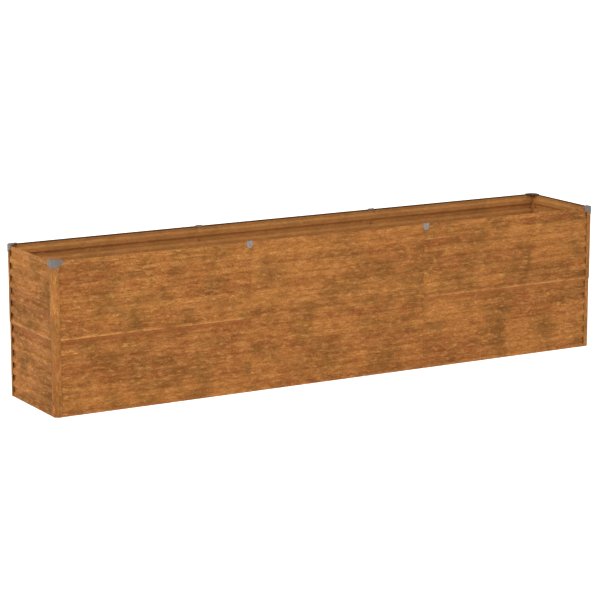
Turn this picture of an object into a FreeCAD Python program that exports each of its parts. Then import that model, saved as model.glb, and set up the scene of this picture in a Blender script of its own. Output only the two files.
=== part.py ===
"""Raised planter of corrugated weathering steel, open at the top and the bottom.

Two tiers of wall sheets are bolted to corner posts, and the upper tier laps over the lower one.
Each long wall is three sheets end to end, with a tie bar across the planter at each joint.
Plastic caps and clips cover the sharp edges of the rim.

Millimetres. +X runs along the planter, +Y from front to rear, +Z up.
The origin is the middle of the base, on the ground.
"""
import FreeCAD, Part
import math
import os

import Sketcher

VEC = FreeCAD.Vector
UP = VEC(0, 0, 1)

# Driving dimensions: alias, value and what it measures.
SIZES = (
    ("overall_length", 3200, "over the upper corner posts"),
    ("overall_width", 550, "over the upper corner posts"),
    ("sheet", 0.8, "wall sheet, measured straight through the wall"),
    ("post_plate", 1.2, "corner post plate, no thinner than the sheet"),
    ("rib_depth", 10, "from a crest to a valley"),
    ("rib_pitch", 63, "from one valley to the next"),
    ("rib_flank", 10.5, "height of the slope between a crest and a valley"),
    ("valley_flat", 20, "height of a valley's flat"),
    ("rib_bend", 6, "radius of the bends of the ribs"),
    ("rib_count", 6, "valleys in one sheet"),
    ("bottom_land", 14, "flat edge below the first valley"),
    ("top_land", 20.5, "flat edge above the last valley"),
    ("tier_lap", 11, "height by which the upper tier covers the lower one"),
    ("joint_lap", 16, "length by which two sheets of a long wall lap"),
    ("sheet_inset", 20, "from a post's outer corner to the end of the sheet behind it"),
    ("post_flange", 36, "width of a post's flange, from its outer corner"),
    ("post_chamfer", 16, "width cut off a post's outer corner"),
    ("post_bend", 4, "radius of a post's two folds"),
    ("bolt_edge", 8, "from the end of a sheet to the bolts in it"),
    ("bolt_diameter", 5, "shank of every bolt"),
    ("bolt_clearance", 0.4, "hole diameter less shank diameter"),
    ("head_diameter", 10, "bolt head where it seats"),
    ("head_crown", 5.5, "bolt head at its flat top"),
    ("head_height", 2.4, "bolt head"),
    ("socket_radius", 1.7, "hexagon socket, to its corners"),
    ("socket_depth", 1.3, "hexagon socket"),
    ("nut_radius", 4.6, "nut, to its corners"),
    ("nut_height", 4, "nut"),
    ("thread_clearance", 0.1, "nut bore diameter less shank diameter"),
    ("bolt_end", 2, "length of bolt that stands out of its nut"),
    ("bar_plate", 3, "tie bar thickness"),
    ("bar_height", 16, "tie bar height"),
    ("bar_tab", 10, "tie bar tab, past its bolt"),
    ("bar_web", 13, "from the bolt to the tie bar's web"),
    ("cap_wall", 2, "corner caps and rim clips, skirt thickness"),
    ("cap_top", 4, "corner caps and rim clips, thickness over the rim"),
    ("cap_reach", 54, "corner cap, along each wall"),
    ("cap_depth", 6, "corner cap, across the rim at its tips"),
    ("cap_drop", 36, "corner cap skirt at the corner"),
    ("cap_tip_drop", 12, "corner cap skirt at its tips"),
    ("lip_drop", 6, "lips of the caps and clips, inside the wall"),
    ("lip_gap", 0.4, "between the wall and a lip"),
    ("clip_width", 36, "rim clip over the rim"),
    ("clip_foot", 22, "rim clip at the bottom of its skirt"),
    ("clip_drop", 30, "rim clip skirt"),
    ("clip_shoulder", 14, "height of the rim clip skirt that keeps its full width"),
    ("clip_dimple", 7, "diameter of the dimple in the rim clip skirt"),
    ("dimple_depth", 0.8, "depth of that dimple"),
)

doc = FreeCAD.newDocument("planter")
sheet = doc.addObject("Spreadsheet::Sheet", "sizes")
for row, (alias, number, meaning) in enumerate(SIZES, start=1):
    sheet.set(f"A{row}", meaning)
    sheet.set(f"B{row}", str(number))
    sheet.setAlias(f"B{row}", alias)
doc.recompute()

# Lengths that follow from the driving ones, as expressions.
CREST_FLAT = "(sizes.rib_pitch - 2 * sizes.rib_flank - sizes.valley_flat)"
VALLEY = "(2 * sizes.rib_flank + sizes.valley_flat)"
SHEET_HEIGHT = (f"(sizes.bottom_land + (sizes.rib_count - 1) * sizes.rib_pitch + {VALLEY}"
                " + sizes.top_land)")
TIER_STEP = f"({SHEET_HEIGHT} - sizes.tier_lap)"
RIM = f"({TIER_STEP} + {SHEET_HEIGHT})"
LONG_SHEET = "((sizes.overall_length - 2 * sizes.sheet_inset + 2 * sizes.joint_lap) / 3)"
SHORT_SHEET = "(sizes.overall_width - 2 * sizes.sheet_inset)"
SHEET_STEP = f"({LONG_SHEET} - sizes.joint_lap)"
JOINT_ALONG = f"({LONG_SHEET} / 2 - sizes.joint_lap / 2)"
POST_BOLT = "(sizes.sheet_inset + sizes.bolt_edge)"
HOLE = "(sizes.bolt_diameter + sizes.bolt_clearance)"
TIER_INSET = "(sizes.post_plate + sizes.sheet)"
MITRE = f"{math.sqrt(2) - 1:.9f}"

# A tier's name, height of its base and distance that it stands in from the outer faces.
TIERS = (("lower", "0", TIER_INSET), ("upper", TIER_STEP, "0"))

# A wall's quarter turns from the front one, and its half size from the middle of the planter.
WALLS = {
    "front": (0, "sizes.overall_width / 2"),
    "right": (1, "sizes.overall_length / 2"),
    "rear": (2, "sizes.overall_width / 2"),
    "left": (3, "sizes.overall_length / 2"),
}
CORNERS = ("front_left", "front_right", "rear_right", "rear_left")


def value(expression):
    """The number that an expression gives for the sheet's sizes."""
    result = sheet.evalExpression(expression)
    return float(getattr(result, "Value", result))


def wall_place(wall, along, depth):
    """X and Y expressions of a point along a wall, at a depth in from the planter's outer face."""
    turns, half = WALLS[wall]
    out = f"({half} - ({depth}))"
    return ((f"({along})", f"-{out}"), (out, f"({along})"),
            (f"-({along})", out), (f"-{out}", f"-({along})"))[turns]


def corner_place(corner, inset):
    """X and Y expressions of a tier's outer corner."""
    half_length = f"(sizes.overall_length / 2 - {inset})"
    half_width = f"(sizes.overall_width / 2 - {inset})"
    side = "-" if corner.endswith("left") else ""
    face = "-" if corner.startswith("front") else ""
    return side + half_length, face + half_width


def crest_rows():
    """Heights of the bolts in a sheet: the middles of every other crest."""
    rows = []
    for crest in range(1, int(value("sizes.rib_count")), 2):
        rows.append(f"(sizes.bottom_land + {crest} * sizes.rib_pitch - {CREST_FLAT} / 2)")
    return rows


def lap_row(tier):
    """Height in a tier of the bolts that hold it to the other tier."""
    if tier == "upper":
        return "(sizes.tier_lap / 2)"
    return f"({SHEET_HEIGHT} - sizes.tier_lap / 2)"


def new_body(label, place, height, turns=0):
    """An empty body whose place is bound to the sheet, turned by quarter turns about Z."""
    body = doc.addObject("PartDesign::Body", label)
    body.Label = label
    body.Placement = FreeCAD.Placement(VEC(), FreeCAD.Rotation(UP, 90 * turns))
    for axis, expression in zip("xyz", (*place, height)):
        body.setExpression(f"Placement.Base.{axis}", expression)
    return body


def origin_part(body, role):
    """One of a body's own origin planes or axes."""
    return next(item for item in body.Origin.OriginFeatures if item.Role == role)


def new_sketch(body, plane, name):
    """A sketch on one of the body's origin planes."""
    sketch = body.newObject("Sketcher::SketchObject", name)
    sketch.AttachmentSupport = [(origin_part(body, plane), "")]
    sketch.MapMode = "FlatFace"
    return sketch


def bind(sketch, kind, geometry, point, expression):
    """Hold one coordinate of a point at an expression, measured from the sketch's origin."""
    constraint = Sketcher.Constraint(kind, -1, 1, geometry, point, value(expression))
    sketch.setExpression(f"Constraints[{sketch.addConstraint(constraint)}]", expression)


def add_outline(sketch, corners):
    """A closed outline through corners, each a pair of expressions."""
    first = sketch.GeometryCount
    spots = [VEC(value(across), value(up), 0) for across, up in corners]
    ends = spots[1:] + spots[:1]
    lines = [Part.LineSegment(start, end) for start, end in zip(spots, ends)]
    sketch.addGeometry(lines, False)
    for index, (across, up) in enumerate(corners):
        following = first + (index + 1) % len(corners)
        sketch.addConstraint(Sketcher.Constraint("Coincident", first + index, 2, following, 1))
        bind(sketch, "DistanceX", first + index, 1, across)
        bind(sketch, "DistanceY", first + index, 1, up)


def add_box(sketch, low, high):
    """A rectangle between two opposite corners."""
    add_outline(sketch, (low, (high[0], low[1]), high, (low[0], high[1])))


def add_circle(sketch, centre, diameter):
    """A circle whose centre and diameter are expressions."""
    spot = VEC(value(centre[0]), value(centre[1]), 0)
    index = sketch.addGeometry(Part.Circle(spot, UP, value(diameter) / 2), False)
    bind(sketch, "DistanceX", index, 3, centre[0])
    bind(sketch, "DistanceY", index, 3, centre[1])
    constraint = Sketcher.Constraint("Diameter", index, value(diameter))
    sketch.setExpression(f"Constraints[{sketch.addConstraint(constraint)}]", diameter)


def pad(body, sketch, name, length, symmetric=False, reverse=False):
    """A pad of a sketch by an expression's length."""
    feature = body.newObject("PartDesign::Pad", name)
    feature.Profile = sketch
    feature.setExpression("Length", length)
    feature.SideType = "Symmetric" if symmetric else "One side"
    feature.Reversed = reverse
    return feature


def cut_through(body, sketch, name):
    """A pocket of a sketch right through the body, both ways."""
    feature = body.newObject("PartDesign::Pocket", name)
    feature.Profile = sketch
    feature.Type = "ThroughAll"
    feature.SideType = "Symmetric"
    return feature


def drill(body, plane, name, columns, rows):
    """Bolt holes at every crossing of columns and rows, through the plate that they meet."""
    sketch = new_sketch(body, plane, f"{name}_centres")
    for column in columns:
        for row in rows:
            add_circle(sketch, (column, row), HOLE)
    return cut_through(body, sketch, name)


def round_bends(body, name, base, radius, is_bend):
    """Fillets with one radius on the edges of a feature that are bends of its plate."""
    doc.recompute()
    edges = [f"Edge{number}" for number, edge in enumerate(base.Shape.Edges, start=1)
             if is_bend(edge.BoundBox)]
    bends = body.newObject("PartDesign::Fillet", name)
    bends.Base = (base, edges)
    bends.setExpression("Radius", radius)
    return bends


def wall_sheet(label, wall, along, depth, height, length, tier):
    """A corrugated sheet: its own X runs along the wall and its own Y inwards from the crests."""
    body = new_body(label, wall_place(wall, along, depth), height, WALLS[wall][0])
    valley = (("0", "0"), ("sizes.rib_depth", "sizes.rib_flank"),
              ("sizes.rib_depth", "sizes.rib_flank + sizes.valley_flat"), ("0", VALLEY))

    def strip(start, rises):
        """Outline of a strip of the sheet that runs up from a height."""
        outer = [(depth_in, f"{start} + {rise}") for depth_in, rise in rises]
        return outer + [(f"{depth_in} + sizes.sheet", up) for depth_in, up in reversed(outer)]

    rib_section = new_sketch(body, "YZ_Plane", "rib_section")
    add_outline(rib_section, strip("sizes.bottom_land", valley + (("0", "sizes.rib_pitch"),)))
    rib = pad(body, rib_section, "rib", length, symmetric=True)

    ribs = body.newObject("PartDesign::LinearPattern", "ribs")
    ribs.Originals = [rib]
    ribs.Direction = (origin_part(body, "Z_Axis"), [""])
    ribs.setExpression("Length", "sizes.rib_pitch * (sizes.rib_count - 2)")
    ribs.setExpression("Occurrences", "sizes.rib_count - 1")
    body.Tip = ribs

    end_sections = new_sketch(body, "YZ_Plane", "end_sections")
    add_box(end_sections, ("0", "0"), ("sizes.sheet", "sizes.bottom_land"))
    last = "sizes.bottom_land + (sizes.rib_count - 1) * sizes.rib_pitch"
    top = ("0", f"{VALLEY} + sizes.top_land")
    add_outline(end_sections, strip(last, valley + (top,)))
    whole = pad(body, end_sections, "ends", length, symmetric=True)

    def is_bend(box):
        """An edge along the sheet that isn't one of its four long outer corners."""
        margin = value("sizes.sheet")
        inside = margin < box.ZMin and box.ZMax < value(SHEET_HEIGHT) - margin
        return inside and box.XLength > value(length) / 2

    round_bends(body, "bends", whole, "sizes.rib_bend", is_bend)
    column = f"({length} / 2 - sizes.bolt_edge)"
    drill(body, "XZ_Plane", "bolt_holes", (column, f"-{column}"), crest_rows() + [lap_row(tier)])
    return body


def corner_post(label, corner, height, inset, tier):
    """A plate folded round the outer corner: one flange on its own X, the other on its own Y."""
    body = new_body(label, corner_place(corner, inset), height, CORNERS.index(corner))
    inner_fold = f"sizes.post_chamfer + {MITRE} * sizes.post_plate"
    section = new_sketch(body, "XY_Plane", "section")
    add_outline(section, (
        ("0", "sizes.post_chamfer"), ("sizes.post_chamfer", "0"),
        ("sizes.post_flange", "0"), ("sizes.post_flange", "sizes.post_plate"),
        (inner_fold, "sizes.post_plate"), ("sizes.post_plate", inner_fold),
        ("sizes.post_plate", "sizes.post_flange"), ("0", "sizes.post_flange")))
    plate = pad(body, section, "plate", SHEET_HEIGHT)

    def is_fold(box):
        """An upright edge between the chamfer and a flange."""
        margin = value("sizes.post_plate") / 2
        fold = value("sizes.post_chamfer") - margin
        ends = sorted((box.XMin, box.YMin))
        upright = box.ZLength > value(SHEET_HEIGHT) / 2
        return upright and fold < ends[1] < value("sizes.post_flange") - margin

    round_bends(body, "folds", plate, "sizes.post_bend", is_fold)
    rows = crest_rows() + [lap_row(tier)]
    column = f"({POST_BOLT} - {inset})"
    drill(body, "XZ_Plane", "first_flange_holes", (column,), rows)
    drill(body, "YZ_Plane", "second_flange_holes", (column,), rows)
    return body


def tie_bar(label, along, tier_height, inset):
    """A flat bar across the planter, bent at both ends to lie on the joints' inner faces."""
    row = crest_rows()[1]
    height = f"{tier_height} + {row} - sizes.bar_height / 2"
    body = new_body(label, (along, "0"), height)
    reach = f"(sizes.overall_width / 2 - {inset} - sizes.post_plate - 2 * sizes.sheet)"
    web = "sizes.bar_web"
    web_far = "(sizes.bar_web + sizes.bar_plate)"
    section = new_sketch(body, "XY_Plane", "section")
    add_outline(section, (
        ("-sizes.bar_tab", f"-{reach}"), (web_far, f"-{reach}"),
        (web_far, reach), ("-sizes.bar_tab", reach),
        ("-sizes.bar_tab", f"{reach} - sizes.bar_plate"), (web, f"{reach} - sizes.bar_plate"),
        (web, f"-({reach} - sizes.bar_plate)"),
        ("-sizes.bar_tab", f"-({reach} - sizes.bar_plate)")))
    pad(body, section, "bar", "sizes.bar_height")
    drill(body, "XZ_Plane", "bolt_holes", ("0",), ("sizes.bar_height / 2",))
    return body


def corner_cap(corner):
    """A moulded cap: a plate across the rim's corner, tapered skirts outside and lips inside."""
    body = new_body(f"corner_cap_{corner}", corner_place(corner, "0"), RIM,
                    CORNERS.index(corner))
    outer_fold = f"(sizes.post_chamfer - {MITRE} * sizes.cap_wall)"
    outside = (("-sizes.cap_wall", "sizes.cap_reach"), ("-sizes.cap_wall", outer_fold),
               (outer_fold, "-sizes.cap_wall"), ("sizes.cap_reach", "-sizes.cap_wall"))
    top = new_sketch(body, "XY_Plane", "top_outline")
    add_outline(top, outside + (("sizes.cap_reach", "sizes.cap_depth"),
                                ("sizes.cap_depth", "sizes.cap_reach")))
    pad(body, top, "top_plate", "sizes.cap_top")

    skirt = new_sketch(body, "XY_Plane", "skirt_outline")
    add_outline(skirt, outside + (("sizes.cap_reach", "0"), ("sizes.post_chamfer", "0"),
                                  ("0", "sizes.post_chamfer"), ("0", "sizes.cap_reach")))
    pad(body, skirt, "skirt", "sizes.cap_drop", reverse=True)

    lip_start = "(sizes.post_plate + sizes.sheet + sizes.lip_gap)"
    lip_end = f"({lip_start} + sizes.cap_wall)"
    lips = new_sketch(body, "XY_Plane", "lip_outlines")
    add_box(lips, ("sizes.sheet_inset", lip_start), ("sizes.cap_reach - sizes.cap_depth", lip_end))
    add_box(lips, (lip_start, "sizes.sheet_inset"), (lip_end, "sizes.cap_reach - sizes.cap_depth"))
    pad(body, lips, "lips", "sizes.lip_drop", reverse=True)

    for plane in ("XZ_Plane", "YZ_Plane"):
        taper = new_sketch(body, plane, f"taper_{plane[:2].lower()}_outline")
        add_outline(taper, (("sizes.post_chamfer + sizes.cap_wall", "-sizes.cap_drop"),
                            ("sizes.cap_reach", "-sizes.cap_tip_drop"),
                            ("sizes.cap_reach + 1", "-sizes.cap_tip_drop"),
                            ("sizes.cap_reach + 1", "-sizes.cap_drop - 1"),
                            ("sizes.post_chamfer + sizes.cap_wall", "-sizes.cap_drop - 1")))
        cut_through(body, taper, f"taper_{plane[:2].lower()}")
    return body


def rim_clip(label, wall, along):
    """A moulded clip over a joint of the rim, with a tapered skirt outside and a lip inside."""
    body = new_body(label, wall_place(wall, along, "sizes.post_plate"), RIM, WALLS[wall][0])
    lip_start = "(2 * sizes.sheet + sizes.lip_gap)"
    section = new_sketch(body, "YZ_Plane", "section")
    add_outline(section, (
        ("-sizes.cap_wall", "-sizes.clip_drop"), ("0", "-sizes.clip_drop"), ("0", "0"),
        (lip_start, "0"), (lip_start, "-sizes.lip_drop"),
        (f"{lip_start} + sizes.cap_wall", "-sizes.lip_drop"),
        (f"{lip_start} + sizes.cap_wall", "sizes.cap_top"), ("-sizes.cap_wall", "sizes.cap_top")))
    pad(body, section, "channel", "sizes.clip_width", symmetric=True)
    tapers = new_sketch(body, "XZ_Plane", "taper_outlines")
    for side in ("", "-"):
        add_outline(tapers, (
            (f"{side}sizes.clip_width / 2", "-sizes.clip_shoulder"),
            (f"{side}(sizes.clip_width / 2 + 1)", "-sizes.clip_shoulder"),
            (f"{side}(sizes.clip_width / 2 + 1)", "-sizes.clip_drop - 1"),
            (f"{side}sizes.clip_foot / 2", "-sizes.clip_drop - 1"),
            (f"{side}sizes.clip_foot / 2", "-sizes.clip_drop")))
    cut_through(body, tapers, "tapers")
    dimple = new_sketch(body, "XZ_Plane", "dimple_outline")
    dimple.setExpression("AttachmentOffset.Base.z", "sizes.cap_wall")
    add_circle(dimple, ("0", "-sizes.clip_shoulder"), "sizes.clip_dimple")
    feature = body.newObject("PartDesign::Pocket", "dimple")
    feature.Profile = dimple
    feature.setExpression("Length", "sizes.dimple_depth")
    return body


def primitive(kind, name, lengths, height="0"):
    """A Part primitive whose lengths and place along Z are bound to the sheet."""
    item = doc.addObject(kind, name)
    for key, expression in lengths.items():
        item.setExpression(key, expression)
    item.setExpression("Placement.Base.z", height)
    return item


def boolean(kind, name, base, tool):
    """A Part cut or fuse of two objects."""
    item = doc.addObject(kind, name)
    item.Base = base
    item.Tool = tool
    return item


def bolt(name, grip):
    """A button-head bolt on Z: the head's seat at 0, the shank upwards through a grip and a nut."""
    shank = primitive("Part::Cylinder", f"{name}_shank", {
        "Radius": "sizes.bolt_diameter / 2",
        "Height": f"{grip} + sizes.nut_height + sizes.bolt_end"})
    head = primitive("Part::Cone", f"{name}_head", {
        "Radius1": "sizes.head_crown / 2", "Radius2": "sizes.head_diameter / 2",
        "Height": "sizes.head_height"}, "-sizes.head_height")
    socket = primitive("Part::Prism", f"{name}_socket", {
        "Circumradius": "sizes.socket_radius", "Height": "sizes.socket_depth"},
        "-sizes.head_height")
    blank = boolean("Part::Fuse", f"{name}_blank", head, shank)
    return boolean("Part::Cut", name, blank, socket)


def nut():
    """A hexagon nut on Z, seated at 0."""
    blank = primitive("Part::Prism", "nut_blank", {
        "Circumradius": "sizes.nut_radius", "Height": "sizes.nut_height"})
    bore = primitive("Part::Cylinder", "nut_bore", {
        "Radius": "(sizes.bolt_diameter + sizes.thread_clearance) / 2",
        "Height": "sizes.nut_height"})
    return boolean("Part::Cut", "nut", blank, bore)


def fastener_group(label, item, places):
    """One node of separate copies of a fastener, each seated at a wall, along, depth and height."""
    copies = []
    for wall, along, depth, height in places:
        spot = [value(expression) for expression in (*wall_place(wall, along, depth), height)]
        inwards = FreeCAD.Rotation(UP, 90 * WALLS[wall][0]).multVec(VEC(0, 1, 0))
        turn = FreeCAD.Rotation(UP, inwards)
        copy = item.Shape.copy()
        copy.Placement = FreeCAD.Placement(VEC(*spot), turn)
        copies.append(copy)
    group = doc.addObject("Part::Feature", label)
    group.Label = label
    group.Shape = Part.makeCompound(copies)
    group.Placement = FreeCAD.Placement()
    return group


def post_columns():
    """Each wall and how far along it the bolts stand that hold its sheets to the posts."""
    for wall, (turns, half) in WALLS.items():
        run = ("sizes.overall_length", "sizes.overall_width")[turns % 2]
        column = f"({run} / 2 - {POST_BOLT})"
        yield wall, column
        yield wall, f"-{column}"


def joint_columns():
    """Each joint of the long walls, and how far along its wall it stands."""
    for wall in ("front", "rear"):
        yield wall, JOINT_ALONG
        yield wall, f"-{JOINT_ALONG}"


def add_walls():
    """The sheets of both tiers; the middle sheet of a long wall lies behind its neighbours."""
    bodies = []
    for tier, height, inset in TIERS:
        depth = f"{inset} + sizes.post_plate"
        behind = f"{depth} + sizes.sheet"
        for wall, names in (("front", ("left", "middle", "right")),
                            ("rear", ("right", "middle", "left"))):
            for step, name in zip((-1, 0, 1), names):
                bodies.append(wall_sheet(
                    f"{wall}_sheet_{name}_{tier}", wall, f"{step} * {SHEET_STEP}",
                    behind if step == 0 else depth, height, LONG_SHEET, tier))
        for wall in ("left", "right"):
            bodies.append(wall_sheet(f"{wall}_end_sheet_{tier}", wall, "0", depth, height,
                                     SHORT_SHEET, tier))
    return bodies


def add_posts():
    """One post at each corner of each tier."""
    bodies = []
    for tier, height, inset in TIERS:
        for corner in CORNERS:
            label = f"corner_post_{corner}_{tier}"
            bodies.append(corner_post(label, corner, height, inset, tier))
    return bodies


def add_tie_bars():
    """One bar at each pair of facing joints, in each tier."""
    bodies = []
    for tier, height, inset in TIERS:
        for side, name in (("-", "left"), ("", "right")):
            bodies.append(tie_bar(f"tie_bar_{name}_{tier}", side + JOINT_ALONG, height, inset))
    return bodies


def add_rim_trim():
    """Caps at the corners of the rim, and clips at the joints of its long sides."""
    bodies = [corner_cap(corner) for corner in CORNERS]
    names = iter(("front_right", "front_left", "rear_left", "rear_right"))
    for wall, along in joint_columns():
        bodies.append(rim_clip(f"rim_clip_{next(names)}", wall, along))
    return bodies


def add_fasteners():
    """Bolts and nuts of the posts, of the joints and of the lap between the tiers."""
    plate, sheet_gauge = "sizes.post_plate", "sizes.sheet"
    post_grip = f"({plate} + {sheet_gauge})"
    joint_grip = f"(2 * {sheet_gauge})"
    bar_grip = f"({joint_grip} + sizes.bar_plate)"
    post_lap_grip = f"({TIER_INSET} + {post_grip})"
    joint_lap_grip = f"({TIER_INSET} + {joint_grip})"
    hex_nut = nut()
    grips = {"post": post_grip, "joint": joint_grip, "bar": bar_grip,
             "post_lap": post_lap_grip, "joint_lap": joint_lap_grip}
    bolts = {name: bolt(f"{name}_bolt", grip) for name, grip in grips.items()}
    doc.recompute()

    seats = {name: [] for name in grips}
    rows = crest_rows()
    for tier, base, inset in TIERS:
        for index, row in enumerate(rows):
            height = f"({base} + {row})"
            for wall, along in post_columns():
                seats["post"].append((wall, along, inset, height))
            for wall, along in joint_columns():
                kind = "bar" if index == 1 else "joint"
                seats[kind].append((wall, along, f"({inset} + {plate})", height))
    lap_height = f"({TIER_STEP} + {lap_row('upper')})"
    for wall, along in post_columns():
        seats["post_lap"].append((wall, along, "0", lap_height))
    for wall, along in joint_columns():
        seats["joint_lap"].append((wall, along, plate, lap_height))

    groups = []
    for name, places in seats.items():
        groups.append(fastener_group(f"{name}_bolts", bolts[name], places))
        behind = [(wall, along, f"({depth} + {grips[name]})", height)
                  for wall, along, depth, height in places]
        groups.append(fastener_group(f"{name}_nuts", hex_nut, behind))
    return groups


def write_parts(nodes):
    """Check every object and shape, then write one STEP file for each node."""
    for item in doc.Objects:
        if "Invalid" in item.State or "Error" in item.State:
            raise RuntimeError(f"{item.Label} failed: {item.State}")
    for node in nodes:
        if node.Shape.isNull() or not node.Shape.isValid() or not node.Shape.Solids:
            raise RuntimeError(f"{node.Label} has no valid solid")
    os.makedirs("parts", exist_ok=True)
    for node in nodes:
        node.Shape.exportStep(f"parts/{node.Label}.step")
        print(f"{node.Label}: {len(node.Shape.Solids)} solids, {node.Shape.Volume:.0f} mm3")


parts = add_walls() + add_posts() + add_tie_bars() + add_rim_trim() + add_fasteners()
doc.recompute()
write_parts(parts)
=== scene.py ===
"""Raised planter of corrugated weathering steel on a pale studio floor.

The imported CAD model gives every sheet, post, bar, cap, clip, bolt and nut its shape and place, in
metres.  This script gives them their finishes, and adds the floor, the light and the camera.
"""

import math
import random

import bpy
from mathutils import Euler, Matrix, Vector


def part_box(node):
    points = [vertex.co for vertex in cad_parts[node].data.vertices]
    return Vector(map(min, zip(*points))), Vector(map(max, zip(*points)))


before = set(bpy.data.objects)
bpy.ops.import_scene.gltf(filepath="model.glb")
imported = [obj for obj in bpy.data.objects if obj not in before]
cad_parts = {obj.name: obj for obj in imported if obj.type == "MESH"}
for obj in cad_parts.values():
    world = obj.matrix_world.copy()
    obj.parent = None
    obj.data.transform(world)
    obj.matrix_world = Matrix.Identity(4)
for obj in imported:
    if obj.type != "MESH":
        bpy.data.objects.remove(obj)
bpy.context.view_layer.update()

MM = 0.001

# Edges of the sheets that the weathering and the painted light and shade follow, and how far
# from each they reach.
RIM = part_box("front_sheet_left_upper")[1][2]
RIM_PAINTED_SHADE_WIDTH = 9 * MM           # painted shade: a dark line along the inner edge of the rim
LAP_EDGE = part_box("front_sheet_left_upper")[0][2]
LAP_PAINTED_HIGHLIGHT = 12 * MM           # painted highlight: a pale line above the lap
LAP_PAINTED_SHADOW = 45 * MM            # painted shadow: a red-brown band below the lap
POST_FOOT = 150 * MM         # dull foot of an upper post
SHEET_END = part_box("left_end_sheet_upper")[0][1]
FRONT_END_DARK_REACH = 110 * MM          # darker towards the front end of an end sheet

# How much of its own colour each of them has at most, from none to all of it.
# the inner faces, painted paler as painted light
INNER_PAINTED_LIGHT = 0.38
# the painted highlight above the lap
LAP_HIGHLIGHT_SHARE = 0.55
# the painted shadow below the lap
LAP_SHADOW_SHARE = 0.6
POST_PAINTED_SHADE = 0.14           # the whole post, painted shade against the extra light on its chamfer
# at the foot of an upper post: that painted shade and a darker stain
POST_FOOT_SHADE_AND_STAIN = 0.38
FRONT_END_DARK_SHARE = 0.32

# Directions from each wall towards the soil, and how squarely a face looks that way before it
# starts to count as inner and when it counts in full.
INWARDS = {"front": (0, 1, 0), "rear": (0, -1, 0), "left": (1, 0, 0), "right": (-1, 0, 0)}
LOOKS_INWARDS = (0.2, 0.6)

# Rust layer of weathering steel, from its dark old patches to its freshest ochre.
RUST_OLD = "#6c471f"
RUST_RED = "#8c5025"
RUST_ORANGE = "#a96d34"
RUST_OCHRE = "#cb9052"
RUST_DUSTY = "#a7703a"
# Painted shade along the inner edge of the rim.
RIM_PAINTED_SHADE_BROWN = "#3c250f"
ZINC_PALE = "#a9adb0"
ZINC_DARK = "#83888c"
CAP_GREY = "#5c5450"
CAP_SCUFFED = "#7a6f69"
CLIP_GREY = "#766c66"
CLIP_SCUFFED = "#938982"
FLOOR_WHITE = "#f2f2f0"

# Each rusty node has its own stretch of the rust pattern, up to this many metres away.
PATTERN_SPAN = 20
PATTERN_SEED = 7

# Noises in the rust: how many times longer they are along the sheet than across it, their size
# across it in millimetres, then detail, roughness and distortion.
RUST_NOISES = {
    "bands": (9, 95, 2, 0.5, 0.3),
    "streaks": (4, 22, 5, 0.7, 0.6),
    "patches": (1.1, 130, 2, 0.5, 0.3),
    "cloud": (1.8, 45, 5, 0.65, 0.7),
    "wisps": (3, 13, 4, 0.7, 0.5),
    "flecks": (3.5, 9, 4, 0.65, 0.4),
    "grain": (1.5, 5, 4, 0.8, 0),    # real grit is about 0.5 mm; 5 mm is the finest that shows
}

# Coats over the streaky ground, in order: colour, its noise, where in the noise it starts and
# is full, and its share at most.
RUST_COATS = (
    (RUST_DUSTY, "cloud", 0.46, 0.66, 0.75),
    (RUST_OLD, "patches", 0.42, 0.75, 0.8),
    (RUST_OLD, "flecks", 0.46, 0.74, 0.75),
    (RUST_OCHRE, "wisps", 0.5, 0.74, 0.65),
)
GRIT_SHARE = 0.85
GRIT_HEIGHT = 0.8 * MM

LAMP_PLACE = (-9, -8, 11)    # metres
LAMP_WIDTH = 7
LAMP_WATTS = 1060
LAMP_TILT = 48.6             # degrees from straight down
LAMP_TURN = -48.4            # degrees about the vertical
SURROUND_STRENGTH = 0.71
FLOOR_WIDTH = 160
FLOOR_GLOW = 0.7

CAMERA_PLACE = (-6.178, -10.519, 2.871)
CAMERA_HEADING = 30.12       # degrees from +Y towards +X
CAMERA_DIP = 11.58           # degrees below level
CAMERA_LENS = 143            # millimetres
CAMERA_SENSOR = 36

# Sockets of a mix node that carry colours.
MIX_UNDER = 6
MIX_OVER = 7
MIXED = 2


def linear(hex_colour):
    """An sRGB hex colour as linear RGBA."""
    parts = [int(hex_colour[start:start + 2], 16) / 255 for start in (1, 3, 5)]
    return (*(part / 12.92 if part <= 0.04045 else ((part + 0.055) / 1.055) ** 2.4
              for part in parts), 1.0)


def per_metre(size_mm):
    """Noise scale that makes features about this many millimetres across."""
    return 1 / (size_mm * MM)


def add(tree, kind, inputs=None, **settings):
    """A node with its settings, and its inputs set to values or linked from sockets."""
    node = tree.nodes.new(kind)
    for key, setting in settings.items():
        setattr(node, key, setting)
    for key, item in (inputs or {}).items():
        if isinstance(item, bpy.types.NodeSocket):
            tree.links.new(item, node.inputs[key])
        else:
            node.inputs[key].default_value = item
    return node


def new_material(name):
    """A material with an empty tree, and its shader joined to the output."""
    material = bpy.data.materials.new(name)
    material.use_nodes = True
    tree = material.node_tree
    tree.nodes.clear()
    shader = add(tree, "ShaderNodeBsdfPrincipled")
    add(tree, "ShaderNodeOutputMaterial", {"Surface": shader.outputs[0]})
    return material, tree, shader


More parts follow.
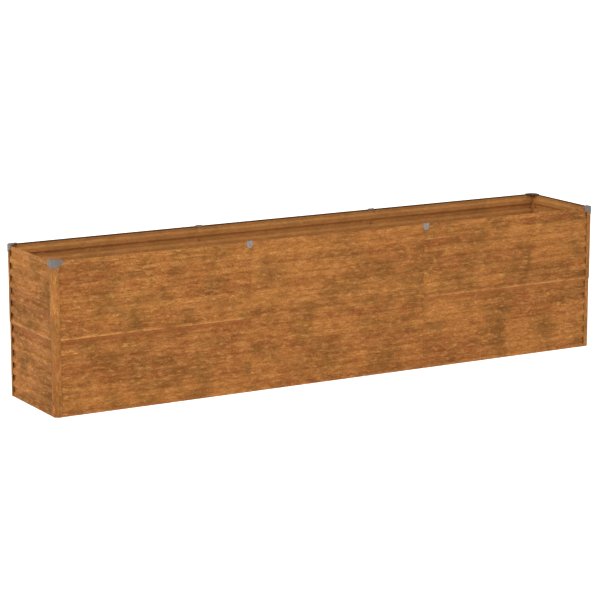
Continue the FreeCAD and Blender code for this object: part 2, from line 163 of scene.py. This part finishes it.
def weathering_steel(name, along, offset, inwards=None, lap_line=None, post_foot=None,
                     damp_end=False):
    """Weathering steel with its rust layer, weathered outdoors after rolling.

    The eye gets a matt, dry orange-brown, drawn out in streaks along the rolled sheet, with old
    brown patches, thin ochre wisps and a sandy grain.  The inner faces are painted paler ochre as
    painted light, and a dark line along the inner edge of the rim is painted shade.  Above the lap
    between the tiers a pale ochre line is a painted highlight, over a red-brown band of painted
    shadow.  Posts are painted darker all over, as painted shade against the light on their
    chamfers, and the upper ones carry a darker stain at the foot.  The front ends of the end
    sheets are darker too.
    """
    material, tree, shader = new_material(name)
    place = add(tree, "ShaderNodeTexCoord").outputs["Object"]
    _, depth, height = add(tree, "ShaderNodeSeparateXYZ", {0: place}).outputs

    noises = {}
    for layer, (times, size_mm, detail, roughness, distortion) in RUST_NOISES.items():
        scale = [1.0, 1.0, 1.0]
        scale["XYZ".index(along)] = 1 / times
        drawn_out = add(tree, "ShaderNodeMapping", {
            "Vector": place, "Location": offset, "Scale": scale})
        noises[layer] = add(tree, "ShaderNodeTexNoise", {
            "Vector": drawn_out.outputs[0], "Scale": per_metre(size_mm), "Detail": detail,
            "Roughness": roughness, "Distortion": distortion}).outputs[0]

    def coat(under, over, *masks):
        """One colour over another, by masks: each a socket, its range and the shares there."""
        share = 1.0
        for socket, start, full, least, most in masks:
            mask = add(tree, "ShaderNodeMapRange", {
                "Value": socket, "From Min": start, "From Max": full,
                "To Min": least, "To Max": most})
            share = add(tree, "ShaderNodeMath", {0: share, 1: mask.outputs[0]},
                        operation="MULTIPLY").outputs[0]
        return add(tree, "ShaderNodeMix", {0: share, MIX_UNDER: under, MIX_OVER: linear(over)},
                   data_type="RGBA").outputs[MIXED]

    # Two noises of about 0.5 each make the ground, so their sum lies around 1.
    tone = add(tree, "ShaderNodeMath", {0: noises["bands"], 1: noises["streaks"]},
               operation="ADD").outputs[0]
    colour = coat(linear(RUST_RED), RUST_ORANGE, (tone, 0.86, 1.14, 0, 1))
    for over, layer, start, full, strength in RUST_COATS:
        colour = coat(colour, over, (noises[layer], start, full, 0, strength))
    grit = add(tree, "ShaderNodeMapRange", {
        "Value": noises["grain"], "From Min": 0.32, "From Max": 0.68,
        "To Min": 0.25, "To Max": 0.75})
    colour = add(tree, "ShaderNodeMix", {
        0: GRIT_SHARE, MIX_UNDER: colour, MIX_OVER: grit.outputs[0]},
        data_type="RGBA", blend_type="OVERLAY").outputs[MIXED]

    # Painted shade: the posts are darker all over, against the extra light on their chamfers; the
    # upper ones also carry a darker stain towards their foot.
    if post_foot:
        colour = coat(colour, RUST_OLD, (
            height, LAP_EDGE + POST_FOOT, LAP_EDGE + POST_FOOT / 2, POST_PAINTED_SHADE, post_foot))
    if damp_end:
        # Darker towards the front end of an end sheet, beside the front post.
        colour = coat(colour, RUST_OLD, (
            depth, SHEET_END + FRONT_END_DARK_REACH, SHEET_END + FRONT_END_DARK_REACH / 3, 0, FRONT_END_DARK_SHARE))
    if inwards:
        facing = add(tree, "ShaderNodeVectorMath", {
            0: add(tree, "ShaderNodeNewGeometry").outputs["Normal"], 1: inwards},
            operation="DOT_PRODUCT").outputs["Value"]
        # Painted light: the inner faces are painted paler ochre.
        colour = coat(colour, RUST_OCHRE, (facing, *LOOKS_INWARDS, 0, INNER_PAINTED_LIGHT))
        # Painted shade: a dark line along the inner edge of the rim, on the inner faces only.
        colour = coat(colour, RIM_PAINTED_SHADE_BROWN, (facing, *LOOKS_INWARDS, 0, 1),
                      (height, RIM - RIM_PAINTED_SHADE_WIDTH, RIM - RIM_PAINTED_SHADE_WIDTH / 2, 0, 1))
    if lap_line == "pale":
        # A painted highlight along the foot of the upper sheet, broken up by the streaks, and
        # strongest in the lowest quarter of its width.
        colour = coat(colour, RUST_OCHRE, (noises["streaks"], 0.35, 0.6, 0, 1),
                      (height, LAP_EDGE + LAP_PAINTED_HIGHLIGHT, LAP_EDGE + LAP_PAINTED_HIGHLIGHT / 4, 0, LAP_HIGHLIGHT_SHARE))
    if lap_line == "run":
        # Painted shadow below the lap, under the edge of the upper sheet.
        colour = coat(colour, RUST_RED, (height, LAP_EDGE - LAP_PAINTED_SHADOW, LAP_EDGE, 0, LAP_SHADOW_SHARE))

    grit_height = add(tree, "ShaderNodeMath", {0: noises["grain"], 1: noises["flecks"]},
                      operation="ADD")
    bump = add(tree, "ShaderNodeBump", {
        "Height": grit_height.outputs[0], "Strength": 0.35, "Distance": GRIT_HEIGHT})
    rough = add(tree, "ShaderNodeMapRange", {
        "Value": noises["patches"], "From Min": 0.35, "From Max": 0.7,
        "To Min": 0.74, "To Max": 0.92})
    tree.links.new(colour, shader.inputs["Base Color"])
    tree.links.new(rough.outputs[0], shader.inputs["Roughness"])
    tree.links.new(bump.outputs[0], shader.inputs["Normal"])
    shader.inputs["Specular IOR Level"].default_value = 0.12
    return material


def zinc_plating():
    """Barrel-plated zinc on mild steel: dull silver with faint clouds a few millimetres wide."""
    material, tree, shader = new_material("zinc_plating")
    place = add(tree, "ShaderNodeTexCoord").outputs["Object"]
    speckle = add(tree, "ShaderNodeTexVoronoi", {"Vector": place, "Scale": per_metre(6)})
    cloud = add(tree, "ShaderNodeTexNoise", {"Vector": place, "Scale": per_metre(14),
                                             "Detail": 3.0})
    mottle = add(tree, "ShaderNodeMath", {0: speckle.outputs[0], 1: cloud.outputs[0]},
                 operation="MULTIPLY")
    colour = add(tree, "ShaderNodeMix", {
        0: mottle.outputs[0], MIX_UNDER: linear(ZINC_PALE), MIX_OVER: linear(ZINC_DARK)},
        data_type="RGBA")
    rough = add(tree, "ShaderNodeMapRange", {"Value": cloud.outputs[0], "To Min": 0.38,
                                             "To Max": 0.6})
    tree.links.new(colour.outputs[MIXED], shader.inputs["Base Color"])
    tree.links.new(rough.outputs[0], shader.inputs["Roughness"])
    shader.inputs["Metallic"].default_value = 1.0
    return material


def moulded_plastic(name, grey, scuffed):
    """Injection-moulded polypropylene: satin grey with a fine spark-eroded texture and scuffs."""
    material, tree, shader = new_material(name)
    place = add(tree, "ShaderNodeTexCoord").outputs["Object"]
    # Real spark texture is about 0.1 mm; 1.2 mm is the finest that shows.
    stipple = add(tree, "ShaderNodeTexNoise", {"Vector": place, "Scale": per_metre(1.2),
                                               "Detail": 2.0})
    scuffs = add(tree, "ShaderNodeTexNoise", {"Vector": place, "Scale": per_metre(12),
                                              "Detail": 5.0, "Roughness": 0.7})
    worn = add(tree, "ShaderNodeMapRange", {"Value": scuffs.outputs[0], "From Min": 0.45,
                                            "From Max": 0.7})
    colour = add(tree, "ShaderNodeMix", {
        0: worn.outputs[0], MIX_UNDER: linear(grey), MIX_OVER: linear(scuffed)},
        data_type="RGBA")
    rough = add(tree, "ShaderNodeMapRange", {"Value": scuffs.outputs[0], "To Min": 0.42,
                                             "To Max": 0.62})
    bump = add(tree, "ShaderNodeBump", {"Height": stipple.outputs[0], "Strength": 0.25,
                                        "Distance": 0.1 * MM})
    tree.links.new(colour.outputs[MIXED], shader.inputs["Base Color"])
    tree.links.new(rough.outputs[0], shader.inputs["Roughness"])
    tree.links.new(bump.outputs[0], shader.inputs["Normal"])
    shader.inputs["IOR"].default_value = 1.49
    return material


def finish_nodes():
    """Gives each CAD node its finish; each rusty one has its own stretch of rust."""
    dice = random.Random(PATTERN_SEED)
    zinc = zinc_plating()
    cap_plastic = moulded_plastic("moulded_cap_plastic", CAP_GREY, CAP_SCUFFED)
    clip_plastic = moulded_plastic("moulded_clip_plastic", CLIP_GREY, CLIP_SCUFFED)
    for name in sorted(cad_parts):
        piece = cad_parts[name]
        if name.startswith("corner_cap"):
            finish = cap_plastic
        elif name.startswith("rim_clip"):
            finish = clip_plastic
        elif name.startswith("tie_bar"):
            finish = zinc
        else:
            offset = [dice.uniform(0, PATTERN_SPAN) for _ in range(3)]
            look = {"along": "X", "offset": offset}
            if name.startswith("corner_post"):
                # Painted shade on every post, and on the upper ones a darker stain at the foot as
                # well.
                shade_and_stain = POST_FOOT_SHADE_AND_STAIN if name.endswith("upper") else POST_PAINTED_SHADE
                look.update(along="Z", post_foot=shade_and_stain)
            elif "sheet" in name:
                look.update(inwards=INWARDS[name.split("_")[0]])
                if "end_sheet" in name:
                    look.update(along="Y", damp_end=True)
                if "middle" not in name:
                    look.update(lap_line="run" if name.endswith("lower") else "pale")
            finish = weathering_steel(f"weathering_steel_{name}", **look)
        for slot in piece.material_slots:
            slot.material = finish


def add_floor():
    """A matt white studio floor that glows a little, so that it stays pale beside the walls."""
    bpy.ops.mesh.primitive_plane_add(size=FLOOR_WIDTH)
    floor = bpy.context.object
    floor.name = "studio_floor"
    material, _, shader = new_material("studio_floor")
    shader.inputs["Base Color"].default_value = linear(FLOOR_WHITE)
    shader.inputs["Roughness"].default_value = 0.9
    shader.inputs["Specular IOR Level"].default_value = 0.0
    shader.inputs["Emission Color"].default_value = (1, 1, 1, 1)
    shader.inputs["Emission Strength"].default_value = FLOOR_GLOW
    floor.data.materials.append(material)


def add_light():
    """An even white surround, and one broad soft lamp above the front left."""
    world = bpy.data.worlds.new("studio")
    world.use_nodes = True
    background = world.node_tree.nodes["Background"]
    background.inputs["Color"].default_value = (1, 1, 1, 1)
    background.inputs["Strength"].default_value = SURROUND_STRENGTH
    bpy.context.scene.world = world
    lamp = bpy.data.lights.new("overhead_softbox", "AREA")
    lamp.shape = "DISK"
    lamp.size = LAMP_WIDTH
    lamp.energy = LAMP_WATTS
    softbox = bpy.data.objects.new("overhead_softbox", lamp)
    softbox.location = LAMP_PLACE
    softbox.rotation_euler = Euler((math.radians(LAMP_TILT), 0, math.radians(LAMP_TURN)))
    bpy.context.collection.objects.link(softbox)


def add_camera():
    """A long lens from the front left, a little above the rim."""
    lens = bpy.data.cameras.new("camera")
    lens.lens = CAMERA_LENS
    lens.sensor_width = CAMERA_SENSOR
    camera = bpy.data.objects.new("camera", lens)
    camera.location = CAMERA_PLACE
    camera.rotation_euler = Euler((math.radians(90 - CAMERA_DIP), 0,
                                   math.radians(-CAMERA_HEADING)))
    bpy.context.collection.objects.link(camera)
    bpy.context.scene.camera = camera


finish_nodes()
add_floor()
add_light()
add_camera()
bpy.context.scene.view_settings.view_transform = "Standard"
